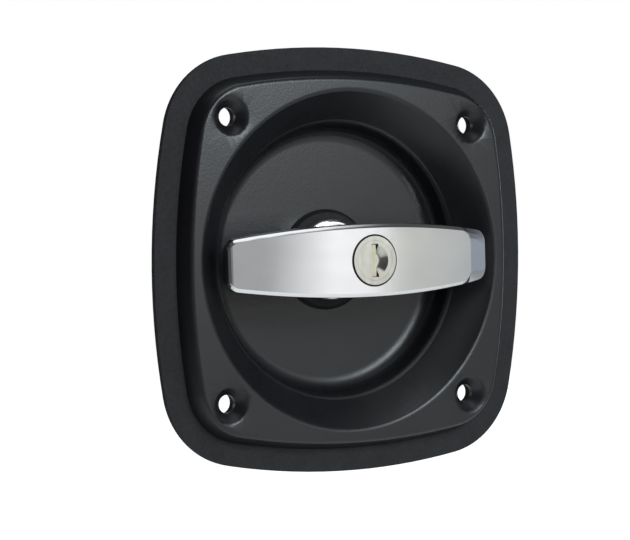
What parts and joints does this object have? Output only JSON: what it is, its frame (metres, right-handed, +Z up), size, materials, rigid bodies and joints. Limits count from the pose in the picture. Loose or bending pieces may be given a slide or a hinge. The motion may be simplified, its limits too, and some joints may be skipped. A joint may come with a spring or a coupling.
{
  "type": "recessed t-handle latch",
  "caption": "Square pressed pan with a round stepped dish, a chromed T-handle with a key lock at its middle and a quarter-turn latch cam behind.",
  "frame": {"origin": "on the handle's axis, in the plane of the door face that the gasket lies on", "axes": "+Y along the handle's axis into the door, +Z up, +X to the right seen from the front"},
  "size_m": [0.13, 0.0685, 0.13],
  "materials": {
    "gasket_rubber": "matte",
    "powder_coat": "semi-gloss with a fine orange peel",
    "black_plastic": "satin",
    "chrome": "bright",
    "nickel": "satin",
    "zinc_steel": "zinc plated",
    "brass": "plain",
    "seal_rubber": "matte",
    "tan_metal": "satin"
  },
  "bodies": {
    "frame": {"gasket": "gasket_rubber", "pan": "powder_coat", "handle_bush": "black_plastic", "tooth_washer": "zinc_steel", "ring_nut": "zinc_steel"},
    "handle": {"t_handle": "chrome", "lock_barrel": "nickel", "lock_seal": "seal_rubber", "barrel_pin": "zinc_steel", "thrust_washer": "black_plastic", "o_ring": "seal_rubber", "stop_plate": "zinc_steel", "wave_washer": "zinc_steel", "retaining_ring": "zinc_steel", "spindle": "zinc_steel", "spindle_pin": "zinc_steel", "cam_spacer": "zinc_steel", "latch_cam": "zinc_steel", "lock_washer": "zinc_steel", "cam_nut": "zinc_steel"},
    "plug": {"key_plug": "nickel", "tailpiece": "brass", "tail_pin": "zinc_steel", "shutter_pin": "zinc_steel"},
    "shutter": {"dust_shutter": "tan_metal"},
    "wafer_stack": {"wafers": "brass"},
    "bolt": {"lock_bolt": "zinc_steel"}
  },
  "joints": [
    {"name": "handle_turn", "type": "hinge", "parent": "frame", "child": "handle", "pos_m": [0, 0, 0], "axis": [0, -1, 0], "range_deg": [-2, 88]},
    {"name": "key_turn", "type": "hinge", "parent": "handle", "child": "plug", "pos_m": [0, 0, 0], "axis": [0, -1, 0], "range_deg": [0, 90]},
    {"name": "bolt_slide", "type": "slide", "parent": "handle", "child": "bolt", "axis": [-0.0349, 0, 0.9994], "range_m": [0, 0.0024]},
    {"name": "shutter_swing", "type": "hinge", "parent": "plug", "child": "shutter", "pos_m": [-0.00195, -0.0175, -0.00007], "axis": [-0.0349, 0, 0.9994], "range_deg": [0, 85], "stiffness_Nm_per_rad": 0.00005},
    {"name": "wafer_lift", "type": "slide", "parent": "plug", "child": "wafer_stack", "axis": [-0.0349, 0, 0.9994], "range_m": [0, 0.0008]}
  ],
  "couplings": [
    {"joint": "bolt_slide", "follows": "key_turn", "m_per_rad": 0.0015305}
  ]
}
